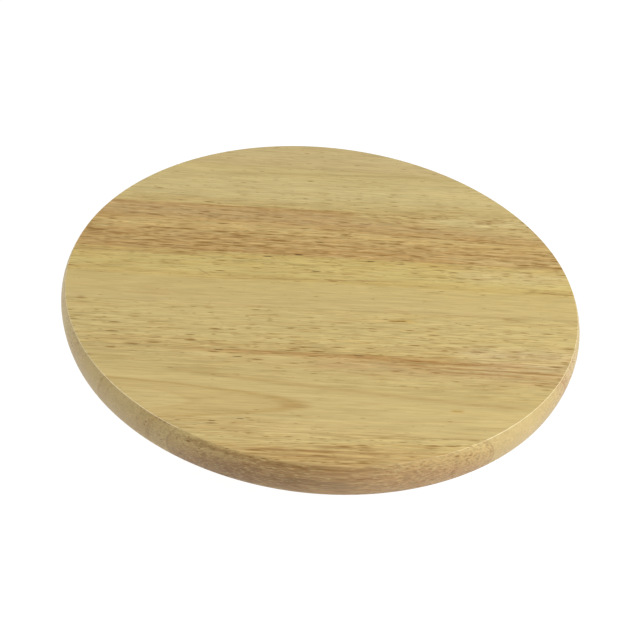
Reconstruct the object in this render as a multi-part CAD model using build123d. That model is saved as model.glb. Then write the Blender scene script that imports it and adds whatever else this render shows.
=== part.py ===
from build123d import *
import math
import os

# Lazy susan turntable. A round top, edge-glued from rubberwood staves, spins on a
# pressed-steel ball bearing that is screwed between it and a smaller wooden base,
# and the base stands on four rubber feet.
# Millimetres. The origin is the centre of the footprint, on the surface that the
# feet stand on, with +Z up. The grain of every stave runs along X.

os.makedirs("parts", exist_ok=True)

# ---- driving dimensions -------------------------------------------------------------

# Top: a 12 in round of 20 mm planed board, with a bullnose edge that is fullest just
# under its middle.
TOP_DIAMETER = 305.0
TOP_THICKNESS = 20.0
TOP_STAVE_WIDTHS = (24.0, 59.5, 37.5, 50.0, 50.0, 50.0, 34.0)  # random widths, from -Y to +Y
EDGE_BELLY_HEIGHT = 9.7  # the edge's widest point, above the underside
EDGE_BELLY_ABOVE = 3.0  # how far the belly stands out past the upper arris
EDGE_BELLY_BELOW = 1.6  # and past the lower arris
UPPER_ARRIS_RADIUS = 0.5
LOWER_ARRIS_RADIUS = 2.5

# Base: a smaller round, with one hole that lets a screwdriver reach the upper screws.
BASE_DIAMETER = 200.0
BASE_THICKNESS = 12.0
BASE_STAVE_COUNT = 5
BASE_EDGE_RADIUS = 3.0
ACCESS_HOLE_RADIUS = 9.5

# Swivel bearing: the common 4 in square pattern, 5/16 in high.
PLATE_SIDE = 102.0
PLATE_CORNER_RADIUS = 7.0
PLATE_HOLE_SPACING = 87.3
PLATE_HOLE_RADIUS = 2.2
BEARING_HEIGHT = 8.0
SHEET = 1.2
BALL_DIAMETER = 4.7625  # 3/16 in
BALL_COUNT = 43  # a full row
BALL_CIRCLE_RADIUS = 33.0
BALL_CLEARANCE = 0.05
GROOVE_RADIUS = 2.6
FLANGE_INNER_RADIUS = 37.2  # where the flat square gives way to the pressed race
RACE_RAMP_RADII = (37.0, 36.0)  # the race rises from the flange between these
RACE_RISE = 1.0  # the race's shoulders above the flange
COLLAR_RADIUS = 24.6  # middle of the lower plate's collar wall
LIP_RADIUS = 27.0  # end of the lip that is rolled outward over the upper plate's rim
RIM_GAP = 0.4  # running gap between rim and lip, and between rim and collar
RIM_RAMP_RADII = (30.2, 28.6)  # the upper plate steps down to its rim between these
RIM_DEPTH = 3.4  # middle of the rim, below the upper plate's mounting face

# Feet: moulded rubber bumpers, each with a steel washer under its screw head.
FOOT_HEIGHT = 5.0
FOOT_UPPER_RADIUS = 8.0
FOOT_LOWER_RADIUS = 7.2
FOOT_EDGE_RADIUS = 0.8
FOOT_CIRCLE_RADIUS = 78.0
FOOT_WELL_RADIUS = 4.0
FOOT_WELL_DEPTH = 3.2
FOOT_COUNT = 4
WASHER_RADIUS = 3.9
WASHER_THICKNESS = 0.8

# Screws: No. 6 pan-head wood screws with a cross recess.
SCREW_RADIUS = 1.75
SCREW_POINT_LENGTH = 3.0
SCREW_POINT_RADIUS = 0.2
SHORT_SCREW_LENGTH = 9.5
LONG_SCREW_LENGTH = 12.7
HEAD_RADIUS = 3.5
HEAD_HEIGHT = 2.0
HEAD_RIM_HEIGHT = 0.7
RECESS_LENGTH = 4.0
RECESS_WIDTH = 0.9
RECESS_DEPTH = 1.2
HOLE_CLEARANCE = 0.05  # between a screw and the hole in the wood, rubber or washer

# ---- derived heights and places -----------------------------------------------------

BASE_Z = FOOT_HEIGHT
BEARING_Z = BASE_Z + BASE_THICKNESS
TOP_Z = BEARING_Z + BEARING_HEIGHT
HOLE_CIRCLE_RADIUS = PLATE_HOLE_SPACING / math.sqrt(2)
SCREW_HOLE_RADIUS = SCREW_RADIUS + HOLE_CLEARANCE


def around(radius, count, first_angle):
    """Places at equal angles on a circle about Z."""
    step = 2 * math.pi / count
    angles = [math.radians(first_angle) + step * i for i in range(count)]
    return [(radius * math.cos(a), radius * math.sin(a)) for a in angles]


UPPER_SCREW_PLACES = around(HOLE_CIRCLE_RADIUS, 4, 0)  # upper plate, turned 45 degrees
LOWER_SCREW_PLACES = around(HOLE_CIRCLE_RADIUS, 4, 45)
FOOT_PLACES = around(FOOT_CIRCLE_RADIUS, FOOT_COUNT, 45)
ACCESS_PLACE = UPPER_SCREW_PLACES[0]


def save(shape, name):
    export_step(shape, f"parts/{name}.step")


def hole(place, radius, low, high):
    """A round cutter between two heights."""
    cutter = Cylinder(radius, high - low, align=(Align.CENTER, Align.CENTER, Align.MIN))
    return Pos(place[0], place[1], low) * cutter


def section(*edges):
    """A flat profile in the XZ half plane, drawn as (radius, height)."""
    return Plane.XZ * make_face(list(edges))


def staves(disc, edges, low, high):
    """A disc sawn into strips along X, at the given Y values."""
    strips = []
    reach = max(abs(y) for y in edges)
    for near, far in zip(edges, edges[1:]):
        block = Box(2 * reach, far - near, high - low)
        strips.append(disc & Pos(0, (near + far) / 2, (low + high) / 2) * block)
    return strips


# ---- round top ----------------------------------------------------------------------
# Glued up from flat-sawn staves, then cut round and its edge shaped. The underside is
# bored for the four screws of the bearing's upper plate.

top_radius = TOP_DIAMETER / 2
belly = (top_radius, EDGE_BELLY_HEIGHT)
upper_arris = (top_radius - EDGE_BELLY_ABOVE, TOP_THICKNESS)
lower_arris = (top_radius - EDGE_BELLY_BELOW, 0)
top_disc = revolve(
    section(
        Line((0, 0), lower_arris),
        TangentArc(belly, lower_arris, tangent=(0, -1)),
        TangentArc(belly, upper_arris, tangent=(0, 1)),
        Line(upper_arris, (0, TOP_THICKNESS)),
        Line((0, TOP_THICKNESS), (0, 0)),
    ),
    Axis.Z,
)
for height, arris_radius in ((TOP_THICKNESS, UPPER_ARRIS_RADIUS), (0, LOWER_ARRIS_RADIUS)):
    circles = top_disc.edges().filter_by(GeomType.CIRCLE)
    top_disc = fillet(circles.filter_by_position(Axis.Z, height, height), arris_radius)
top_disc = Pos(0, 0, TOP_Z) * top_disc
upper_screw_tip = BEARING_Z + BEARING_HEIGHT - SHEET + LONG_SCREW_LENGTH
for place in UPPER_SCREW_PLACES:
    top_disc -= hole(place, SCREW_HOLE_RADIUS, TOP_Z, upper_screw_tip + HOLE_CLEARANCE)

top_edges = [-top_radius]
for width in TOP_STAVE_WIDTHS:
    top_edges.append(top_edges[-1] + width)
for number, stave in enumerate(staves(top_disc, top_edges, TOP_Z, TOP_Z + TOP_THICKNESS), 1):
    save(stave, f"top_stave_{number}")

# ---- round base ---------------------------------------------------------------------
# The same board, thinner. Its top is bored for the lower plate's screws and its
# underside for the feet's, and the access hole goes right through.

base_disc = Pos(0, 0, BASE_Z + BASE_THICKNESS / 2) * Cylinder(BASE_DIAMETER / 2, BASE_THICKNESS)
base_disc = fillet(base_disc.edges().filter_by(GeomType.CIRCLE), BASE_EDGE_RADIUS)
lower_screw_tip = BEARING_Z + SHEET - SHORT_SCREW_LENGTH
for place in LOWER_SCREW_PLACES:
    base_disc -= hole(place, SCREW_HOLE_RADIUS, lower_screw_tip - HOLE_CLEARANCE, BEARING_Z)
foot_head_z = FOOT_WELL_DEPTH - WASHER_THICKNESS
for place in FOOT_PLACES:
    tip = foot_head_z + SHORT_SCREW_LENGTH
    base_disc -= hole(place, SCREW_HOLE_RADIUS, BASE_Z, tip + HOLE_CLEARANCE)
base_disc -= hole(ACCESS_PLACE, ACCESS_HOLE_RADIUS, BASE_Z, BEARING_Z)

base_stave_width = BASE_DIAMETER / BASE_STAVE_COUNT
base_edges = [base_stave_width * i - BASE_DIAMETER / 2 for i in range(BASE_STAVE_COUNT + 1)]
for number, stave in enumerate(staves(base_disc, base_edges, BASE_Z, BEARING_Z), 1):
    save(stave, f"base_stave_{number}")

# ---- swivel bearing -----------------------------------------------------------------
# Two square pressings, each with a ball groove. Both are drawn as the middle line of
# the sheet, as (radius, height above the mounting face), and thickened either side.
# The lower plate's collar passes up through the upper plate and is rolled outward, so
# that the two can't part.

flange_z = SHEET / 2
shoulder_z = flange_z + RACE_RISE
ball_z = BEARING_HEIGHT / 2
groove_floor_z = ball_z - BALL_DIAMETER / 2 - BALL_CLEARANCE - SHEET / 2
groove_line_radius = GROOVE_RADIUS + SHEET / 2
groove_centre_z = groove_floor_z + groove_line_radius
groove_half_width = math.sqrt(groove_line_radius**2 - (groove_centre_z - shoulder_z) ** 2)
groove_outer = (BALL_CIRCLE_RADIUS + groove_half_width, shoulder_z)
groove_inner = (BALL_CIRCLE_RADIUS - groove_half_width, shoulder_z)
groove_floor = (BALL_CIRCLE_RADIUS, groove_floor_z)
rim_radius = COLLAR_RADIUS + SHEET + RIM_GAP
lip_z = BEARING_HEIGHT - RIM_DEPTH + SHEET + RIM_GAP


def bearing_plate(inner_points):
    """One pressing, mounting face down: square flange, race, then what follows inward."""
    race = Polyline(
        (FLANGE_INNER_RADIUS + SHEET, flange_z),
        (RACE_RAMP_RADII[0], flange_z),
        (RACE_RAMP_RADII[1], shoulder_z),
        groove_outer,
    )
    groove = ThreePointArc(groove_outer, groove_floor, groove_inner)
    inner = Polyline(groove_inner, *inner_points)
    middle_line = Wire(race.edges() + groove.edges() + inner.edges())
    outline = middle_line.offset_2d(SHEET / 2, kind=Kind.ARC, side=Side.BOTH)
    ring = revolve(Plane.XZ * make_face(outline.edges()), Axis.Z)
    flange_face = RectangleRounded(PLATE_SIDE, PLATE_SIDE, PLATE_CORNER_RADIUS)
    flange = extrude(flange_face, SHEET)
    flange -= hole((0, 0), FLANGE_INNER_RADIUS, 0, SHEET)
    for place in LOWER_SCREW_PLACES:
        flange -= hole(place, PLATE_HOLE_RADIUS, 0, SHEET)
    return flange + ring


lower_plate = bearing_plate(
    [(COLLAR_RADIUS, shoulder_z), (COLLAR_RADIUS, lip_z), (LIP_RADIUS, lip_z)]
)
upper_plate = bearing_plate(
    [(RIM_RAMP_RADII[0], shoulder_z), (RIM_RAMP_RADII[1], RIM_DEPTH), (rim_radius, RIM_DEPTH)]
)
save(Pos(0, 0, BEARING_Z) * lower_plate, "lower_bearing_plate")
save(Pos(0, 0, TOP_Z) * Rot(0, 0, 45) * Rot(180, 0, 0) * upper_plate, "upper_bearing_plate")

balls = []
for x, y in around(BALL_CIRCLE_RADIUS, BALL_COUNT, 0):
    balls.append(Pos(x, y, BEARING_Z + ball_z) * Sphere(BALL_DIAMETER / 2))
save(Compound(children=balls), "bearing_balls")

# ---- screws -------------------------------------------------------------------------
# Drawn head up, with the seat of the head at Z 0.


def pan_head_screw(length):
    point_z = SCREW_POINT_LENGTH - length
    body = revolve(
        section(
            TangentArc((0, HEAD_HEIGHT), (HEAD_RADIUS, HEAD_RIM_HEIGHT), tangent=(1, 0)),
            Polyline(
                (HEAD_RADIUS, HEAD_RIM_HEIGHT),
                (HEAD_RADIUS, 0),
                (SCREW_RADIUS, 0),
                (SCREW_RADIUS, point_z),
                (SCREW_POINT_RADIUS, -length),
                (0, -length),
                (0, HEAD_HEIGHT),
            ),
        ),
        Axis.Z,
    )
    slot = Box(RECESS_LENGTH, RECESS_WIDTH, 2 * RECESS_DEPTH)
    recess = Pos(0, 0, HEAD_HEIGHT) * (slot + Rot(0, 0, 90) * slot)
    return body - recess


head_up = Rot(0, 0, 0)
head_down = Rot(180, 0, 0)


def screws(length, places, seat_z, turn):
    """A set of like screws, with the seats of their heads at one height."""
    screw = turn * pan_head_screw(length)
    return Compound(children=[Pos(x, y, seat_z) * screw for x, y in places])


save(
    screws(LONG_SCREW_LENGTH, UPPER_SCREW_PLACES, TOP_Z - SHEET, head_down),
    "upper_plate_screws",
)
save(
    screws(SHORT_SCREW_LENGTH, LOWER_SCREW_PLACES, BEARING_Z + SHEET, head_up),
    "lower_plate_screws",
)
save(
    screws(SHORT_SCREW_LENGTH, FOOT_PLACES, foot_head_z, head_down),
    "foot_screws",
)

# ---- feet ---------------------------------------------------------------------------
# A tapered rubber bumper with a well for the screw head, which bears on a washer.

foot = Cone(
    FOOT_LOWER_RADIUS,
    FOOT_UPPER_RADIUS,
    FOOT_HEIGHT,
    align=(Align.CENTER, Align.CENTER, Align.MIN),
)
lower_edges = foot.edges().filter_by(GeomType.CIRCLE).filter_by_position(Axis.Z, 0, 0)
foot = fillet(lower_edges, FOOT_EDGE_RADIUS)
foot -= hole((0, 0), FOOT_WELL_RADIUS, 0, FOOT_WELL_DEPTH)
foot -= hole((0, 0), SCREW_HOLE_RADIUS, FOOT_WELL_DEPTH, FOOT_HEIGHT)
washer = hole((0, 0), WASHER_RADIUS, foot_head_z, FOOT_WELL_DEPTH)
washer -= hole((0, 0), SCREW_HOLE_RADIUS, foot_head_z, FOOT_WELL_DEPTH)

for number, (x, y) in enumerate(FOOT_PLACES, 1):
    save(Pos(x, y, 0) * foot, f"rubber_foot_{number}")
save(Compound(children=[Pos(x, y, 0) * washer for x, y in FOOT_PLACES]), "foot_washers")
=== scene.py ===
import math

import bmesh
import bpy
from mathutils import Matrix, Vector


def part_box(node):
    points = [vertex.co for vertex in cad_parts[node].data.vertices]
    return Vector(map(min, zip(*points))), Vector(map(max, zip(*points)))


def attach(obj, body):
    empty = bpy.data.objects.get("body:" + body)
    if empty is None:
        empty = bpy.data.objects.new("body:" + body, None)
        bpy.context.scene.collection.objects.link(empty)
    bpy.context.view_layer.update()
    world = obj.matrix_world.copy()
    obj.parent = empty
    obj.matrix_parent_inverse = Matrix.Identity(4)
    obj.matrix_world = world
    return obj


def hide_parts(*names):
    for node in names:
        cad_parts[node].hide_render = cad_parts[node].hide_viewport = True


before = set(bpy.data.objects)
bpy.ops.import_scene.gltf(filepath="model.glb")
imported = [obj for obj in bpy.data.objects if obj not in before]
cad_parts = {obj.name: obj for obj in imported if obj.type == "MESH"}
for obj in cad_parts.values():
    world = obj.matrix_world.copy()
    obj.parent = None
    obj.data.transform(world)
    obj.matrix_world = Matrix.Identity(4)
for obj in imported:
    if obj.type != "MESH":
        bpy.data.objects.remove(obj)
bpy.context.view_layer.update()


# ---- Rubber feet --------------------------------------------------------------------
# Four moulded bumpers of black rubber, tapered so that they leave the mould, each with
# a well for the head of its screw. They grip the table and keep the base off it.


def linear(hex_colour):
    """An sRGB hex colour as linear red, green, blue and alpha."""
    channels = [int(hex_colour[i : i + 2], 16) / 255 for i in (1, 3, 5)]
    return [c / 12.92 if c <= 0.04045 else ((c + 0.055) / 1.055) ** 2.4 for c in channels] + [1.0]


def add(tree, kind, feeds=None, out=0, stops=(), **settings):
    """Adds a node with its settings, sets or links the inputs that feeds names, and gives a
    colour ramp its stops of (position, colour), in rising order."""
    made = tree.nodes.new(kind)
    for name, value in settings.items():
        setattr(made, name, value)
    for key, value in (feeds or {}).items():
        if isinstance(value, bpy.types.NodeSocket):
            tree.links.new(value, made.inputs[key])
        else:
            made.inputs[key].default_value = value
    for number, (position, colour) in enumerate(stops):
        elements = made.color_ramp.elements
        stop = elements[number] if number < 2 else elements.new(position)
        stop.position = position
        stop.color = colour
    return made.outputs[out] if made.outputs else made


def new_material(name):
    """A material, its empty tree, and the point on the piece in millimetres, which every
    pattern is drawn in."""
    material = bpy.data.materials.new(name)
    material.use_nodes = True
    tree = material.node_tree
    tree.nodes.clear()
    place = add(tree, "ShaderNodeTexCoord", out="Object")
    place = add(tree, "ShaderNodeVectorMath", {0: place, 1: (1000, 1000, 1000)}, operation="MULTIPLY")
    return material, tree, place


def ring_of_points(body, radii, height):
    """Points about Z at one height and at equal angles, one for each radius."""
    points = []
    for number, radius in enumerate(radii):
        angle = 2 * math.pi * number / len(radii)
        points.append(body.verts.new((radius * math.cos(angle), radius * math.sin(angle), height)))
    return points


def skin(body, rings):
    """Faces between each ring of points and the next."""
    for ring, following in zip(rings, rings[1:]):
        for i in range(len(ring)):
            j = (i + 1) % len(ring)
            body.faces.new((ring[i], ring[j], following[j], following[i]))


def lathe(outline, segments, with_hole=False):
    """A closed body turned about Z from an outline of (radius, height), listed from the
    middle of the underside out and up to the middle of the top, or all round a ring."""
    body = bmesh.new()
    rings = [ring_of_points(body, [radius] * segments, height) for radius, height in outline]
    if with_hole:
        skin(body, rings + rings[:1])
    else:
        skin(body, rings)
        body.faces.new(rings[0])
        body.faces.new(rings[-1])
    bmesh.ops.recalc_face_normals(body, faces=body.faces)
    return body


def arc(centre, radius, start, end, steps):
    """Points on an arc in the (radius, height) plane, with angles in degrees."""
    angles = [math.radians(start + (end - start) * i / steps) for i in range(steps + 1)]
    return [(centre[0] + radius * math.cos(a), centre[1] + radius * math.sin(a)) for a in angles]


def piece_from(body, name, sharp_angle=30):
    """The finished mesh object of a bmesh, smooth but for edges over the sharp angle."""
    mesh = bpy.data.meshes.new(name)
    body.to_mesh(mesh)
    body.free()
    for face in mesh.polygons:
        face.use_smooth = True
    mesh.set_sharp_from_angle(angle=math.radians(sharp_angle))
    made = bpy.data.objects.new(name, mesh)
    bpy.context.scene.collection.objects.link(made)
    return made


def ring_tree():
    """Geometry Nodes that set copies of a piece round a circle about Z, each turned a
    little differently about its own axis."""
    tree = bpy.data.node_groups.new("set_round_a_circle", "GeometryNodeTree")
    sockets = {}
    for label, kind in (
        ("Piece", "NodeSocketGeometry"),
        ("Count", "NodeSocketInt"),
        ("Circle Radius", "NodeSocketFloat"),
        ("First Angle", "NodeSocketFloat"),
        ("Most Turn", "NodeSocketFloat"),
        ("Seed", "NodeSocketInt"),
        ("Material", "NodeSocketMaterial"),
    ):
        sockets[label] = tree.interface.new_socket(label, in_out="INPUT", socket_type=kind).identifier
    tree.interface.new_socket("Set", in_out="OUTPUT", socket_type="NodeSocketGeometry")
    given = tree.nodes.new("NodeGroupInput").outputs
    size = {"Vertices": given["Count"], "Radius": given["Circle Radius"]}
    circle = add(tree, "GeometryNodeMeshCircle", size)
    first = add(tree, "ShaderNodeCombineXYZ", {"Z": given["First Angle"]})
    circle = add(tree, "GeometryNodeTransform", {"Geometry": circle, "Rotation": first})
    back = add(tree, "ShaderNodeMath", {0: given["Most Turn"], 1: -1.0}, operation="MULTIPLY")
    turn = add(
        tree,
        "FunctionNodeRandomValue",
        {2: back, 3: given["Most Turn"], "Seed": given["Seed"]},
        out=1,
        data_type="FLOAT",
    )
    spin = add(tree, "ShaderNodeCombineXYZ", {"Z": turn})
    copies = add(
        tree,
        "GeometryNodeInstanceOnPoints",
        {"Points": circle, "Instance": given["Piece"], "Rotation": spin},
    )
    whole = add(tree, "GeometryNodeRealizeInstances", {"Geometry": copies})
    whole = add(tree, "GeometryNodeSetMaterial", {"Geometry": whole, "Material": given["Material"]})
    add(tree, "NodeGroupOutput", {0: whole})
    return tree, sockets


ring_group, ring_sockets = ring_tree()


def set_round(single, name, count, radius, first_angle, material, most_turn=0.0, seed=0):
    """Sets a piece round a circle with the tree above and returns the plain mesh object.
    The first angle is in degrees, and the most turn in radians."""
    modifier = single.modifiers.new("round", "NODES")
    modifier.node_group = ring_group
    values = {
        "Count": count,
        "Circle Radius": radius,
        "First Angle": math.radians(first_angle),
        "Most Turn": most_turn,
        "Seed": seed,
        "Material": material,
    }
    for label, value in values.items():
        modifier[ring_sockets[label]] = value
    bpy.context.view_layer.update()
    evaluated = single.evaluated_get(bpy.context.evaluated_depsgraph_get())
    mesh = bpy.data.meshes.new_from_object(evaluated)
    mesh.name = name
    made = bpy.data.objects.new(name, mesh)
    bpy.context.scene.collection.objects.link(made)
    bpy.data.objects.remove(single)
    return made


# Moulded natural rubber with carbon black: a dull near-black with a faint grey bloom,
# and the fine orange-peel of the mould. IOR 1.52. The grain of 0.4 mm is coarser than
# the real 0.1 mm so that it shows.
rubber, tree, place = new_material("moulded_black_rubber")
bloom = add(tree, "ShaderNodeTexNoise", {"Vector": place, "Scale": 0.25, "Detail": 4.0, "Roughness": 0.6})
peel = add(tree, "ShaderNodeTexNoise", {"Vector": place, "Scale": 2.5, "Detail": 2.0})
tones = {0: bloom, 6: linear("#1b1b1c"), 7: linear("#3a3938")}
colour = add(tree, "ShaderNodeMix", tones, out=2, data_type="RGBA")
rough = add(tree, "ShaderNodeMapRange", {0: bloom, 3: 0.62, 4: 0.86})
bump = add(tree, "ShaderNodeBump", {"Height": peel, "Strength": 0.35, "Distance": 0.0001})
finish = {"Base Color": colour, "Roughness": rough, "Normal": bump, "IOR": 1.52}
surface = add(tree, "ShaderNodeBsdfPrincipled", finish)
add(tree, "ShaderNodeOutputMaterial", {"Surface": surface})

foot_low, foot_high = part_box("rubber_foot_1")
foot_height = foot_high.z - foot_low.z
foot_radius = (foot_high.x - foot_low.x) / 2
foot_circle = ((foot_low + foot_high) / 2).xy.length
foot_taper = 0.0008
foot_round = 0.0008
well_radius = 0.0040
well_depth = 0.0032
well_chamfer = 0.0003
foot_ease = 0.0001
foot_outline = [
    (well_radius, well_depth),
    (well_radius, well_chamfer),
    (well_radius + well_chamfer, 0.0),
]
foot_outline += arc((foot_radius - foot_taper - foot_round, foot_round), foot_round, -90, 0, 6)
foot_outline += [
    (foot_radius - foot_ease, foot_height - 4 * foot_ease),
    (foot_radius - foot_ease, foot_height - foot_ease),
    (foot_radius - 2 * foot_ease, foot_height),
]
foot_count = 4
first_foot = 45
foot = piece_from(lathe(foot_outline, segments=48), "foot")
feet = set_round(foot, "rubber_feet", foot_count, foot_circle, first_foot, rubber)
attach(feet, "base")
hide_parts(*[f"rubber_foot_{number}" for number in range(1, foot_count + 1)])


# ---- Washers of the feet ------------------------------------------------------------
# A stamped steel washer, zinc plated, lies at the top of each foot's well, so that the
# screw head can't pull through the rubber. One edge is rolled over by the punch.

# Bright zinc plating: a cool pale grey metal, a little cloudy where the plating dried,
# with fine scuffs of 0.5 mm from the tumbling drum, drawn coarser than they are.
washer_zinc, tree, place = new_material("bright_zinc_plated_washer_steel")
cloud = add(tree, "ShaderNodeTexNoise", {"Vector": place, "Scale": 0.35, "Detail": 3.0})
scuff = add(tree, "ShaderNodeTexNoise", {"Vector": place, "Scale": 2.0, "Detail": 4.0, "Roughness": 0.7})
tones = {0: cloud, 6: linear("#a9adb0"), 7: linear("#cfd1d0")}
colour = add(tree, "ShaderNodeMix", tones, out=2, data_type="RGBA")
rough = add(tree, "ShaderNodeMapRange", {0: scuff, 3: 0.24, 4: 0.48})
bump = add(tree, "ShaderNodeBump", {"Height": scuff, "Strength": 0.2, "Distance": 0.00005})
finish = {"Base Color": colour, "Roughness": rough, "Normal": bump, "Metallic": 1.0}
surface = add(tree, "ShaderNodeBsdfPrincipled", finish)
add(tree, "ShaderNodeOutputMaterial", {"Surface": surface})

washer_low, washer_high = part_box("foot_washers")
washer_radius = (washer_high.x - washer_low.x) / 2 - foot_circle / math.sqrt(2)
washer_hole = 0.0018
washer_chamfer = 0.0001
washer_round = 0.00025
washer_outline = [
    (washer_hole, washer_high.z),
    (washer_hole, washer_low.z + washer_chamfer),
    (washer_hole + washer_chamfer, washer_low.z),
]
rolled_edge = (washer_radius - washer_round, washer_low.z + washer_round)
washer_outline += arc(rolled_edge, washer_round, -90, 0, 4)
washer_outline += [(washer_radius, washer_high.z)]
washer = piece_from(lathe(washer_outline, segments=48, with_hole=True), "washer")
washers = set_round(washer, "washers", foot_count, foot_circle, first_foot, washer_zinc)
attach(washers, "base")
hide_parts("foot_washers")


# ---- Screws of the feet -------------------------------------------------------------
# No. 6 pan-head wood screws of zinc-plated steel, 9.5 mm long, driven up through the
# washers and the rubber into the base. The heads are cold-headed with a cross recess,
# and the threads are rolled.

# The same plating on a screw has faint blue and straw tints, which a noise of about 3 mm
# carries, and scuffs of 0.3 mm that dull it in places.
screw_zinc, tree, place = new_material("bright_zinc_plated_screw_steel")
tint = add(tree, "ShaderNodeTexNoise", {"Vector": place, "Scale": 0.3, "Detail": 2.0})
colour = add(
    tree,
    "ShaderNodeValToRGB",
    {"Fac": tint},
    stops=((0.3, linear("#9fa7b0")), (0.5, linear("#c2c6c8")), (0.7, linear("#c9c3b0"))),
)
scuff = add(tree, "ShaderNodeTexNoise", {"Vector": place, "Scale": 3.0, "Detail": 4.0, "Roughness": 0.7})
rough = add(tree, "ShaderNodeMapRange", {0: scuff, 3: 0.18, 4: 0.42})
bump = add(tree, "ShaderNodeBump", {"Height": scuff, "Strength": 0.15, "Distance": 0.00005})
finish = {"Base Color": colour, "Roughness": rough, "Normal": bump, "Metallic": 1.0}
surface = add(tree, "ShaderNodeBsdfPrincipled", finish)
add(tree, "ShaderNodeOutputMaterial", {"Surface": surface})

shank_radius = 0.00175
core_radius = 0.00125
thread_pitch = 0.0014
rows_in_pitch = 6
flank_share = 0.2  # of a pitch, from the thread's crest to its core
point_length = 0.0030
point_share = 0.12  # of the full radius, left at the tip
head_radius = 0.0035
head_height = 0.0020
head_rim = 0.0007
crown_radius = 0.0024
head_chamfer = 0.0001
recess_length = 0.0040
recess_width = 0.0009
recess_depth = 0.0012
recess_lean = 0.00015
dome_height = head_height - head_rim
dome_radius = (head_radius**2 + dome_height**2) / (2 * dome_height)


def dome_at(radius):
    """The height of the head's dome above its seat."""
    return head_height - dome_radius + math.sqrt(dome_radius**2 - radius**2)


def recess_outline(body, shrink, height=None):
    """The twelve corners of the cross, on the dome or at one height."""
    half_width = recess_width / 2 - shrink
    reach = recess_length / 2 - 2 * shrink
    corners = []
    for across, along in ((1, 0), (0, 1), (-1, 0), (0, -1)):
        for x, y in ((reach, -half_width), (reach, half_width), (half_width, half_width)):
            place = Vector((x * across - y * along, x * along + y * across, 0))
            place.z = dome_at(place.length) if height is None else height
            corners.append(body.verts.new(place))
    return corners


def wood_screw(length, seat, way):
    """A pan-head screw along Z with a rolled thread and a cross recess. The head's seat is
    at the height given, and way is 1 where the head is up and -1 where it is down."""
    body = bmesh.new()
    steps = 24
    dome_steps = 8
    outline = []
    for i in range(dome_steps + 1):
        radius = crown_radius + (head_radius - crown_radius) * i / dome_steps
        outline.append((radius, dome_at(radius)))
    outline += [(head_radius, head_chamfer), (head_radius - head_chamfer, 0.0), (shank_radius, 0.0)]
    rings = [ring_of_points(body, [radius] * steps, height) for radius, height in outline]
    # The shank's radius goes from core to crest once in each pitch of height and in each
    # turn, so the rows make one helical thread, and it tapers to the point.
    rows = int(length / thread_pitch * rows_in_pitch)
    for row in range(1, rows + 1):
        depth = length * row / rows
        taper = min(1.0, point_share + (1 - point_share) * (length - depth) / point_length)
        run_in = min(1.0, depth / thread_pitch)
        radii = []
        for i in range(steps):
            phase = (depth / thread_pitch + i / steps) % 1.0
            crest = max(0.0, 1 - abs(phase - 0.5) / flank_share) * run_in
            radii.append((core_radius + (shank_radius - core_radius) * crest) * taper)
        rings.append(ring_of_points(body, radii, -depth))
    skin(body, rings)
    body.faces.new(rings[-1])
    # The walls of the recess lean in to a smaller cross at its floor, and the crown of the
    # dome fills the space between the cross and the first ring.
    mouth = recess_outline(body, 0.0)
    floor = recess_outline(body, recess_lean, head_height - recess_depth)
    skin(body, [mouth, floor])
    body.faces.new(floor)
    edges = []
    for loop in (rings[0], mouth):
        for a, b in zip(loop, loop[1:] + loop[:1]):
            edges.append(body.edges.get((a, b)))
    bmesh.ops.triangle_fill(body, use_beauty=True, edges=edges)
    bmesh.ops.recalc_face_normals(body, faces=body.faces)
    turned = Matrix.Rotation(0 if way > 0 else math.pi, 4, "X")
    bmesh.ops.transform(body, matrix=Matrix.Translation((0, 0, seat)) @ turned, verts=body.verts)
    return body


short_screw = 0.0095
foot_seat = washer_low.z
foot_screw = piece_from(wood_screw(short_screw, foot_seat, -1), "foot_screw")
screw_turn = 0.7
foot_screws = set_round(
    foot_screw,
    "foot_screws_of_base",
    foot_count,
    foot_circle,
    first_foot,
    screw_zinc,
    screw_turn,
    seed=3,
)
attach(foot_screws, "base")
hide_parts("foot_screws")


# ---- Round base ---------------------------------------------------------------------
# A 200 mm disc, glued up from five rubberwood staves, 12 mm thick, cut round and eased
# at both edges. It has one bored hole, which lets a screwdriver reach the screws of the
# bearing's upper plate.


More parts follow.
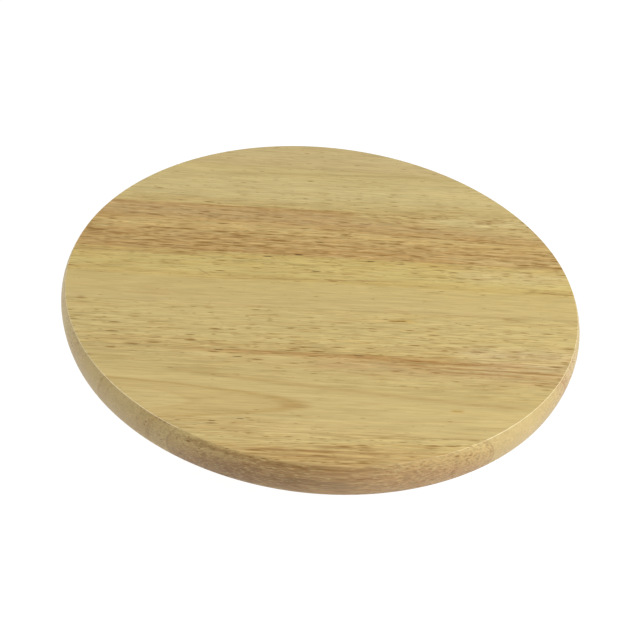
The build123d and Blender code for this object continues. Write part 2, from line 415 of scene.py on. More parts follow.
def mark_tree():
    """A mask for one mark in the wood: a thin band along X whose middle line is
    rise + slope x + bend x squared, in millimetres, and which fades out at its ends."""
    tree = bpy.data.node_groups.new("mark_in_the_grain", "ShaderNodeTree")
    names = ("Along", "Across", "Rise", "Slope", "Bend", "Half Width", "Start", "End", "Fade")
    for name in names:
        tree.interface.new_socket(name, in_out="INPUT", socket_type="NodeSocketFloat")
    tree.interface.new_socket("Mask", in_out="OUTPUT", socket_type="NodeSocketFloat")
    given = tree.nodes.new("NodeGroupInput").outputs
    along = given["Along"]
    bent = {0: along, 1: given["Bend"], 2: given["Slope"]}
    bent = add(tree, "ShaderNodeMath", bent, operation="MULTIPLY_ADD")
    line = add(tree, "ShaderNodeMath", {0: along, 1: bent, 2: given["Rise"]}, operation="MULTIPLY_ADD")
    away = add(tree, "ShaderNodeMath", {0: given["Across"], 1: line}, operation="SUBTRACT")
    away = add(tree, "ShaderNodeMath", {0: away}, operation="ABSOLUTE")
    near = add(
        tree,
        "ShaderNodeMapRange",
        {0: away, 1: 0.0, 2: given["Half Width"], 3: 1.0, 4: 0.0},
        interpolation_type="SMOOTHSTEP",
    )
    after = add(tree, "ShaderNodeMath", {0: along, 1: given["Start"]}, operation="SUBTRACT")
    before = add(tree, "ShaderNodeMath", {0: given["End"], 1: along}, operation="SUBTRACT")
    inside = add(tree, "ShaderNodeMath", {0: after, 1: before}, operation="MINIMUM")
    inside = add(
        tree,
        "ShaderNodeMapRange",
        {0: inside, 1: 0.0, 2: given["Fade"], 3: 0.0, 4: 1.0},
        interpolation_type="SMOOTHSTEP",
    )
    mask = add(tree, "ShaderNodeMath", {0: near, 1: inside}, operation="MULTIPLY")
    add(tree, "NodeGroupOutput", {0: mask})
    return tree


mark_group = mark_tree()

# A mark longer than long_mark, in millimetres, is frayed. Each end fades out over a share
# of the mark's length, and over longest_fade at most.
long_mark = 14.0
longest_fade = 25.0
fade_share = 0.35


def draw_marks(tree, colour, marks, along, across, frayed, breaks):
    """Draws marks over a colour. The longer ones are frayed and broken by the fibres."""
    for start, end, rise, slope, bend, half_width, hex_colour, amount in marks:
        is_long = end - start > long_mark
        line = {"Along": along, "Across": frayed if is_long else across, "Rise": rise, "Slope": slope}
        line.update({"Bend": bend, "Half Width": half_width, "Start": start, "End": end})
        line["Fade"] = min(longest_fade, (end - start) * fade_share)
        mask = add(tree, "ShaderNodeGroup", line, node_tree=mark_group)
        mask = add(tree, "ShaderNodeMath", {0: mask, 1: amount}, operation="MULTIPLY")
        if is_long:
            mask = add(tree, "ShaderNodeMath", {0: mask, 1: breaks}, operation="MULTIPLY", use_clamp=True)
        tint = {0: mask, 6: colour, 7: linear(hex_colour)}
        colour = add(tree, "ShaderNodeMix", tint, out=2, data_type="RGBA")
    return colour


# Each figure of the grain is a noise drawn out along X: its length and width in
# millimetres, its detail, its roughness, and a shift that keeps it apart from the others.
grain_figures = {
    "wide_drift": (90, 40, 1.0, 0.5, 3.1),
    "fine_drift": (20, 5, 2.0, 0.5, 7.7),
    "feather": (9, 1.1, 2.0, 0.6, 5.3),
    "soft_streaks": (90, 3.0, 3.0, 0.6, 11.3),
    "fibres": (16, 0.9, 2.0, 0.65, 17.9),
    "cloud": (70, 14, 2.0, 0.5, 23.1),
    "red_cast": (38, 3.5, 2.0, 0.6, 29.0),
    "dark_hairlines": (24, 0.75, 2.0, 0.7, 41.0),
    "pale_hairlines": (20, 0.8, 2.0, 0.7, 53.0),
    "breaks": (13, 1.0, 2.0, 0.6, 37.0),
    "glue": (30, math.inf, 2.0, 0.5, 31.0),
}


def rubberwood(
    name,
    edges,
    bands,
    pores,
    zones=(),
    marks=(),
    seed=0.0,
    slope=0.0,
    tilt=0.25,
    rings=None,
    sheen=0.44,
    arris_wear_and_highlight=0.8,
):
    """Planed and lacquered rubberwood for one stave, whose edges are (low y, high y, height
    of its upper face) in millimetres.
    bands: (share of the stave's width, hex colour) from low to high, the growth bands.
    pores: the same with an amount from 0 to 1, how open the vessels are there.
    zones, marks: (x start, x end, y, slope, bend, half width, hex colour, strength) in
    millimetres, the zones under the fibres and the marks over them. The pale zones from
    x 60 mm to the right edge of the top are painted sheen.
    slope: drift of the bands in Y for each millimetre of X. tilt: the same for Z.
    rings: (y, depth, drift) of the heart's line, where the cut shows a cathedral."""
    low, high, upper_face = edges
    material, tree, place = new_material(name)
    parts = add(tree, "ShaderNodeSeparateXYZ", {0: place}).node.outputs
    along, across, up = parts[0], parts[1], parts[2]
    figure = {}
    for label, (length, width, detail, rough, shift) in grain_figures.items():
        stretch = (1 / length, 1 / width, 1 / width)
        start = (seed + shift, seed * 1.7 - shift, seed * 0.6)
        moved = {0: place, 1: stretch, 2: start}
        moved = add(tree, "ShaderNodeVectorMath", moved, operation="MULTIPLY_ADD")
        settings = {"Vector": moved, "Scale": 1.0, "Detail": detail, "Roughness": rough}
        figure[label] = add(tree, "ShaderNodeTexNoise", settings)

    # Bands wander by about 2 mm over 90 mm of length and by 0.8 mm over 20 mm, and their
    # sides are feathered by fibres 9 mm long. Tilted rings shift them down the edge.
    wide = add(tree, "ShaderNodeMath", {0: figure["wide_drift"], 1: 5.0, 2: -2.5}, operation="MULTIPLY_ADD")
    fine = add(tree, "ShaderNodeMath", {0: figure["fine_drift"], 1: 1.8, 2: -0.9}, operation="MULTIPLY_ADD")
    feather = add(tree, "ShaderNodeMath", {0: figure["feather"], 1: 5.0, 2: -2.5}, operation="MULTIPLY_ADD")
    leaning = add(tree, "ShaderNodeMath", {0: up, 1: tilt, 2: -tilt * upper_face}, operation="MULTIPLY_ADD")
    leaning = add(tree, "ShaderNodeMath", {0: leaning, 1: across}, operation="ADD")
    shaken = add(tree, "ShaderNodeMath", {0: leaning, 1: fine}, operation="ADD")
    drift = add(tree, "ShaderNodeMath", {0: wide, 1: feather}, operation="ADD")
    drift = add(tree, "ShaderNodeMath", {0: along, 1: slope, 2: drift}, operation="MULTIPLY_ADD")
    drift = add(tree, "ShaderNodeMath", {0: shaken, 1: drift}, operation="ADD")
    share = add(tree, "ShaderNodeMapRange", {0: drift, 1: low, 2: high})
    band_stops = [(position, linear(hex_colour)) for position, hex_colour in bands]
    colour = add(tree, "ShaderNodeValToRGB", {"Fac": share}, stops=band_stops)
    pore_stops = [(position, [amount] * 3 + [1]) for position, amount in pores]
    open_grain = add(tree, "ShaderNodeValToRGB", {"Fac": share}, stops=pore_stops)

    # A cathedral, where the cut runs along the side of the growth rings: a faint line and,
    # 2 mm further out, a strong one.
    if rings:
        ring_y, ring_depth, ring_drift = rings
        from_heart = add(tree, "ShaderNodeMath", {0: across, 1: ring_y}, operation="SUBTRACT")
        from_heart = add(tree, "ShaderNodeMath", {0: from_heart, 1: fine}, operation="ADD")
        square = {0: from_heart, 1: from_heart, 2: ring_depth**2}
        square = add(tree, "ShaderNodeMath", square, operation="MULTIPLY_ADD")
        distance = add(tree, "ShaderNodeMath", {0: square}, operation="SQRT")
        ring = add(tree, "ShaderNodeMath", {0: along, 1: ring_drift, 2: distance}, operation="MULTIPLY_ADD")
        ring_share = {0: ring, 1: ring_depth - 6.0, 2: ring_depth + 2.0}
        ring_share = add(tree, "ShaderNodeMapRange", ring_share)
        line_amounts = ((0.28, 0.0), (0.31, 0.4), (0.36, 0.2), (0.56, 0.28), (0.63, 0.85), (0.7, 0.0))
        line_stops = [(position, [amount] * 3 + [1]) for position, amount in line_amounts]
        line = add(tree, "ShaderNodeValToRGB", {"Fac": ring_share}, stops=line_stops)
        tint = {0: line, 6: colour, 7: linear("#b4965a")}
        colour = add(tree, "ShaderNodeMix", tint, out=2, data_type="RGBA")

    # Broad darker or paler zones that this stave alone has, under the fibres. The pale ones
    # from x 60 mm to the right edge of the top are a painted sheen: the veil of the right
    # softbox's reflection, painted into the colour.
    frayed = add(tree, "ShaderNodeMath", {0: feather, 1: 0.35, 2: shaken}, operation="MULTIPLY_ADD")
    breaks = add(tree, "ShaderNodeMapRange", {0: figure["breaks"], 1: 0.3, 2: 0.6, 3: 0.35, 4: 1.15})
    colour = draw_marks(tree, colour, zones, along, leaning, frayed, breaks)

    # Soft streaks 3 mm apart and fibre lines 0.9 mm apart, both drawn out along X, and
    # stronger where the grain is open. Slow clouds shift the whole, and a red cast comes
    # and goes.
    soft = add(tree, "ShaderNodeMapRange", {0: figure["soft_streaks"], 1: 0.25, 2: 0.75, 3: -0.07, 4: 0.07})
    fibre = add(tree, "ShaderNodeMapRange", {0: figure["fibres"], 1: 0.32, 2: 0.68, 3: -0.25, 4: 0.25})
    strength = add(tree, "ShaderNodeMath", {0: open_grain, 1: 0.9, 2: 0.18}, operation="MULTIPLY_ADD")
    tone = add(tree, "ShaderNodeMath", {0: fibre, 1: strength, 2: soft}, operation="MULTIPLY_ADD")
    tone = add(tree, "ShaderNodeMath", {0: tone, 1: 0.975}, operation="ADD")
    tone = add(tree, "ShaderNodeMath", {0: figure["cloud"], 1: 0.1, 2: tone}, operation="MULTIPLY_ADD")
    colour = add(tree, "ShaderNodeVectorMath", {0: colour, "Scale": tone}, operation="SCALE")
    red = add(tree, "ShaderNodeMapRange", {0: figure["red_cast"], 1: 0.45, 2: 0.75, 3: 0.0, 4: 0.7})
    red = add(tree, "ShaderNodeMath", {0: red, 1: open_grain}, operation="MULTIPLY")
    tint = {0: red, 6: colour, 7: linear("#f4e2cf")}
    colour = add(tree, "ShaderNodeMix", tint, out=2, data_type="RGBA", blend_type="MULTIPLY")

    # Hairlines: rows of vessels that run together, 20 to 40 mm long and 0.5 mm wide, dark
    # where they are open and pale where lacquer fills them.
    for label, least, most, in_open, in_closed, hex_colour in (
        ("dark_hairlines", 0.54, 0.8, 1.0, 0.06, "#93692f"),
        ("pale_hairlines", 0.54, 0.65, 0.85, 0.15, "#dcc88c"),
    ):
        hair = add(tree, "ShaderNodeMapRange", {0: figure[label], 1: least, 2: 0.66, 3: 0.0, 4: most})
        strength = {0: open_grain, 1: in_open, 2: in_closed}
        strength = add(tree, "ShaderNodeMath", strength, operation="MULTIPLY_ADD")
        hair = add(tree, "ShaderNodeMath", {0: hair, 1: strength}, operation="MULTIPLY")
        tint = {0: hair, 6: colour, 7: linear(hex_colour)}
        colour = add(tree, "ShaderNodeMix", tint, out=2, data_type="RGBA")

    # Vessels: dark flecks 0.5 mm wide and 4 to 12 mm long, one in each cell of a stretched
    # cell pattern, drawn about twice as wide as the real ones. On end grain they are dots.
    vessel = None
    for length, width, most in ((11.0, 1.5, 0.86), (6.0, 0.9, 0.645)):
        stretch = (1 / length, 1 / width, 1 / width)
        moved = {0: place, 1: stretch, 2: (seed * width, seed * 0.3, seed * 0.7)}
        moved = add(tree, "ShaderNodeVectorMath", moved, operation="MULTIPLY_ADD")
        cells = add(tree, "ShaderNodeTexVoronoi", {"Vector": moved, "Scale": 1.0}).node.outputs
        chance = add(tree, "ShaderNodeSeparateColor", {0: cells["Color"]}).node.outputs
        keep = add(tree, "ShaderNodeMath", {0: open_grain, 1: most, 2: 0.03}, operation="MULTIPLY_ADD")
        reach = add(tree, "ShaderNodeMath", {0: chance[0], 1: keep}, operation="MULTIPLY")
        reach = add(tree, "ShaderNodeMath", {0: reach, 1: 0.001}, operation="MAXIMUM")
        fleck = {0: cells["Distance"], 1: 0.0, 2: reach, 3: 1.0, 4: 0.0}
        fleck = add(tree, "ShaderNodeMapRange", fleck)
        depth = add(tree, "ShaderNodeMapRange", {0: chance[1], 3: 0.0, 4: 1.7})
        fleck = add(tree, "ShaderNodeMath", {0: fleck, 1: depth}, operation="MULTIPLY")
        if vessel is None:
            vessel = fleck
        else:
            vessel = add(tree, "ShaderNodeMath", {0: vessel, 1: fleck}, operation="MAXIMUM")
    face = add(tree, "ShaderNodeTexCoord", out="Normal")
    turned = add(tree, "ShaderNodeSeparateXYZ", {0: face}).node.outputs
    end_on = add(tree, "ShaderNodeMath", {0: turned[0], 1: turned[0]}, operation="MULTIPLY")
    on_face = add(tree, "ShaderNodeMath", {0: end_on, 1: -0.45, 2: 1.0}, operation="MULTIPLY_ADD")
    vessel = add(tree, "ShaderNodeMath", {0: vessel, 1: on_face}, operation="MULTIPLY")
    vessel = add(tree, "ShaderNodeMath", {0: vessel, 1: 0.9}, operation="MINIMUM")
    tint = {0: vessel, 6: colour, 7: linear("#8c682f")}
    colour = add(tree, "ShaderNodeMix", tint, out=2, data_type="RGBA")

    # Fine marks that this stave alone has.
    colour = draw_marks(tree, colour, marks, along, leaning, frayed, breaks)

    # The glue line between two staves is a hair of darker wood that comes and goes.
    from_low = add(tree, "ShaderNodeMath", {0: across, 1: low}, operation="SUBTRACT")
    from_high = add(tree, "ShaderNodeMath", {0: high, 1: across}, operation="SUBTRACT")
    from_joint = add(tree, "ShaderNodeMath", {0: from_low, 1: from_high}, operation="MINIMUM")
    joint = add(tree, "ShaderNodeMapRange", {0: from_joint, 1: 0.0, 2: 0.45, 3: 1.0, 4: 0.0})
    patchy = add(tree, "ShaderNodeMapRange", {0: figure["glue"], 1: 0.35, 2: 0.65, 3: 0.1, 4: 0.55})
    joint = add(tree, "ShaderNodeMath", {0: joint, 1: patchy}, operation="MULTIPLY")
    tint = {0: joint, 6: colour, 7: linear("#8a6a3f")}
    colour = add(tree, "ShaderNodeMix", tint, out=2, data_type="RGBA")

    # Cut fibres drink more lacquer: end grain is darker and browner. The moulded edge is
    # painted a little darker than the planed face, and darker still the further it faces down,
    # most of all where it turns under: this is painted shade.
    soaked = add(tree, "ShaderNodeMath", {0: end_on, 1: 0.35}, operation="MULTIPLY")
    tint = {0: soaked, 6: colour, 7: linear("#d8d0c8")}
    colour = add(tree, "ShaderNodeMix", tint, out=2, data_type="RGBA", blend_type="MULTIPLY")
    under = add(tree, "ShaderNodeMapRange", {0: turned[2], 1: 0.75, 2: -0.45, 3: 0.0, 4: 1.0})
    tint = {0: under, 6: colour, 7: linear("#ebe2d6")}
    colour = add(tree, "ShaderNodeMix", tint, out=2, data_type="RGBA", blend_type="MULTIPLY")

    # The upper arris, where the face turns to about 39 degrees, is a pale line: partly sanded
    # through, partly a painted highlight of the softboxes on the rounded arris.
    from_arris = add(tree, "ShaderNodeMath", {0: turned[2], 1: 0.78}, operation="SUBTRACT")
    from_arris = add(tree, "ShaderNodeMath", {0: from_arris}, operation="ABSOLUTE")
    arris = add(tree, "ShaderNodeMapRange", {0: from_arris, 1: 0.1, 2: 0.2, 3: arris_wear_and_highlight, 4: 0.0})
    tint = {0: arris, 6: colour, 7: linear("#e9dab0")}
    colour = add(tree, "ShaderNodeMix", tint, out=2, data_type="RGBA")

    rough = add(tree, "ShaderNodeMapRange", {0: vessel, 3: sheen, 4: sheen + 0.2})
    height = add(tree, "ShaderNodeMath", {0: fibre, 1: vessel}, operation="SUBTRACT")
    bump = add(tree, "ShaderNodeBump", {"Height": height, "Strength": 0.3, "Distance": 0.0001})
    finish = {"Base Color": colour, "Roughness": rough, "Normal": bump, "IOR": 1.5}
    surface = add(tree, "ShaderNodeBsdfPrincipled", finish)
    add(tree, "ShaderNodeOutputMaterial", {"Surface": surface})
    return material


base_names = [f"base_stave_{i}" for i in range(1, 6)]
base_looks = (
    (((0, "#bfa66c"), (0.4, "#c6b079"), (0.7, "#c2a971"), (1, "#b89a62")), ((0, 0.5), (1, 0.7)), 0.02),
    (((0, "#c9b47c"), (0.3, "#cbb780"), (0.8, "#c4ad73"), (1, "#c0a66a")), ((0, 0.3), (1, 0.5)), -0.03),
    (((0, "#b6955c"), (0.35, "#bd9f68"), (0.6, "#b59259"), (1, "#c1a66e")), ((0, 0.9), (1, 0.5)), 0.04),
    (((0, "#c6b077"), (0.5, "#c1a86e"), (0.75, "#caae70"), (1, "#c4ac72")), ((0, 0.5), (1, 0.4)), 0.01),
    (((0, "#c2a970"), (0.5, "#b99a62"), (0.8, "#c0a469"), (1, "#bfa56c")), ((0, 0.6), (1, 0.8)), -0.02),
)
for number, (name, (bands, pores, slope)) in enumerate(zip(base_names, base_looks), 1):
    low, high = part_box(name)
    edges = (low.y * 1000, high.y * 1000, high.z * 1000)
    wood = rubberwood(
        f"lacquered_rubberwood_base_{number}", edges, bands, pores, seed=41.0 * number, slope=slope, sheen=0.5
    )
    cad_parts[name].material_slots[0].material = wood


# ---- Lower bearing plate ------------------------------------------------------------
# A 102 mm square of 1.2 mm steel sheet, pressed with a ball groove and a collar, whose
# lip is rolled outward over the upper plate once the balls are in. Zinc plated.

# Plated sheet: cool grey and half bright. The rolling of the sheet leaves lines along X
# about 0.4 mm apart, drawn coarser than the real 0.1 mm, and the press leaves rings.
sheet_zinc, tree, place = new_material("zinc_plated_pressed_sheet_steel")
parts = add(tree, "ShaderNodeSeparateXYZ", {0: place}).node.outputs
flat = add(tree, "ShaderNodeCombineXYZ", {0: parts[0], 1: parts[1]})
from_middle = add(tree, "ShaderNodeVectorMath", {0: flat}, out=1, operation="LENGTH")
stretched = add(tree, "ShaderNodeVectorMath", {0: place, 1: (0.03, 2.5, 2.5)}, operation="MULTIPLY")
rolled = add(tree, "ShaderNodeTexNoise", {"Vector": stretched, "Scale": 1.0, "Detail": 3.0})
rings = add(tree, "ShaderNodeCombineXYZ", {0: from_middle, 2: parts[2]})
rings = add(tree, "ShaderNodeTexNoise", {"Vector": rings, "Scale": 2.2, "Detail": 2.0})
in_race = add(tree, "ShaderNodeMapRange", {0: from_middle, 1: 36.5, 2: 38.0, 3: 1.0, 4: 0.0})
lines = add(tree, "ShaderNodeMix", {0: in_race, 2: rolled, 3: rings})
cloud = add(tree, "ShaderNodeTexNoise", {"Vector": place, "Scale": 0.08, "Detail": 4.0, "Roughness": 0.65})
tones = {0: cloud, 6: linear("#9fa4a8"), 7: linear("#c8cbcb")}
colour = add(tree, "ShaderNodeMix", tones, out=2, data_type="RGBA")
rough = add(tree, "ShaderNodeMapRange", {0: lines, 3: 0.22, 4: 0.5})
bump = add(tree, "ShaderNodeBump", {"Height": lines, "Strength": 0.15, "Distance": 0.00005})
finish = {"Base Color": colour, "Roughness": rough, "Normal": bump, "Metallic": 1.0}
surface = add(tree, "ShaderNodeBsdfPrincipled", finish)
add(tree, "ShaderNodeOutputMaterial", {"Surface": surface})
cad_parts["lower_bearing_plate"].material_slots[0].material = sheet_zinc


# ---- Screws of the lower plate ------------------------------------------------------
# Four more of the short screws, zinc plated like the others. They are driven down
# through the plate's corners into the base before the top goes on.

lower_low, lower_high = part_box("lower_plate_screws")
screw_circle = ((lower_high.x - lower_low.x) / 2 - head_radius) * math.sqrt(2)
lower_seat = lower_high.z - head_height
lower_screw = piece_from(wood_screw(short_screw, lower_seat, 1), "lower_screw")
plate_corners = 4
lower_screws = set_round(
    lower_screw,
    "screws_of_lower_plate",
    plate_corners,
    screw_circle,
    45,
    screw_zinc,
    screw_turn,
    seed=5,
)
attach(lower_screws, "base")
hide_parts("lower_plate_screws")


# ---- Ball row -----------------------------------------------------------------------
# A full row of 43 hardened steel balls, 3/16 in across. They are packed with grease and
# run loose in the grooves of the two plates, without a cage.

# Ground and polished chrome steel under a thin film of grease: dark mirror-like grey,
# with smears about 2 mm across.
ball_steel, tree, place = new_material("polished_chrome_steel_with_grease")
smear = add(tree, "ShaderNodeTexNoise", {"Vector": place, "Scale": 0.5, "Detail": 3.0})
tones = {0: smear, 6: linear("#8f8b83"), 7: linear("#b9bab9")}
colour = add(tree, "ShaderNodeMix", tones, out=2, data_type="RGBA")
rough = add(tree, "ShaderNodeMapRange", {0: smear, 1: 0.35, 2: 0.7, 3: 0.08, 4: 0.3})
bump = add(tree, "ShaderNodeBump", {"Height": smear, "Strength": 0.05, "Distance": 0.00005})
finish = {"Base Color": colour, "Roughness": rough, "Normal": bump, "Metallic": 1.0}
surface = add(tree, "ShaderNodeBsdfPrincipled", finish)
add(tree, "ShaderNodeOutputMaterial", {"Surface": surface})

balls_low, balls_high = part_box("bearing_balls")
ball_radius = (balls_high.z - balls_low.z) / 2
ball_circle = balls_high.x - ball_radius
ball = bmesh.new()
bmesh.ops.create_icosphere(
    ball,
    subdivisions=4,
    radius=ball_radius,
    matrix=Matrix.Translation((0, 0, balls_low.z + ball_radius)),
)
ball_count = 43
balls = set_round(piece_from(ball, "ball"), "ball_row", ball_count, ball_circle, 0, ball_steel)
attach(balls, "ball_row")
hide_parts("bearing_balls")


# ---- Upper bearing plate ------------------------------------------------------------
# The same pressing upside down and turned by 45 degrees, so that a screwdriver reaches
# its corners past the lower plate. Its rim runs under the lower plate's rolled lip.

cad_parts["upper_bearing_plate"].material_slots[0].material = sheet_zinc


# ---- Screws of the upper plate ------------------------------------------------------
# Four No. 6 screws, 12.7 mm long, zinc plated. They are driven up into the top, one after
# the other, through the access hole of the base.

long_screw = 0.0127
upper_low, upper_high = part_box("upper_plate_screws")
upper_seat = upper_low.z + head_height
upper_screw = piece_from(wood_screw(long_screw, upper_seat, -1), "upper_screw")
upper_screws = set_round(
    upper_screw,
    "screws_of_upper_plate",
    plate_corners,
    screw_circle,
    0,
    screw_zinc,
    screw_turn,
    seed=8,
)
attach(upper_screws, "turntable")
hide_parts("upper_plate_screws")


# ---- Round top ----------------------------------------------------------------------
# A 305 mm disc, glued up edge to edge from seven flat-sawn rubberwood staves of random
# width, planed to 20 mm, cut round and spindle moulded to a bullnose that is fullest
# just under its middle. Sanded and finished with a clear satin lacquer.

top_names = [f"top_stave_{i}" for i in range(1, 8)]
top_boxes = [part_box(name) for name in top_names]
top_radius = max(high.x for low, high in top_boxes)
top_low = top_boxes[0][0].z
top_thickness = top_boxes[0][1].z - top_low
belly_height = 0.0097
above, below = 0.0030, 0.0016
rise = top_thickness - belly_height
upper_bow = (rise**2 + above**2) / (2 * above)
lower_bow = (belly_height**2 + below**2) / (2 * below)
upper_round, lower_round = 0.0005, 0.0025

# Each bow is an arc about a point at the belly's height, and each arris is rounded by an
# arc that touches the bow and the flat face.
belly_z = top_low + belly_height
upper_lift = rise - upper_round
upper_in = math.sqrt((upper_bow - upper_round) ** 2 - upper_lift**2)
upper_end = math.degrees(math.atan2(upper_lift, upper_in))
lower_lift = belly_height - lower_round
lower_in = math.sqrt((lower_bow - lower_round) ** 2 - lower_lift**2)
lower_end = -math.degrees(math.atan2(lower_lift, lower_in))
upper_middle = (top_radius - upper_bow, belly_z)
lower_middle = (top_radius - lower_bow, belly_z)
lower_arris = (lower_middle[0] + lower_in, belly_z - lower_lift)
upper_arris = (upper_middle[0] + upper_in, belly_z + upper_lift)
edge_outline = arc(lower_arris, lower_round, -90, lower_end, 8)
edge_outline += arc(lower_middle, lower_bow, lower_end, 0, 6)[1:]
edge_outline += arc(upper_middle, upper_bow, 0, upper_end, 10)[1:]
edge_outline += arc(upper_arris, upper_round, upper_end, 90, 5)[1:]

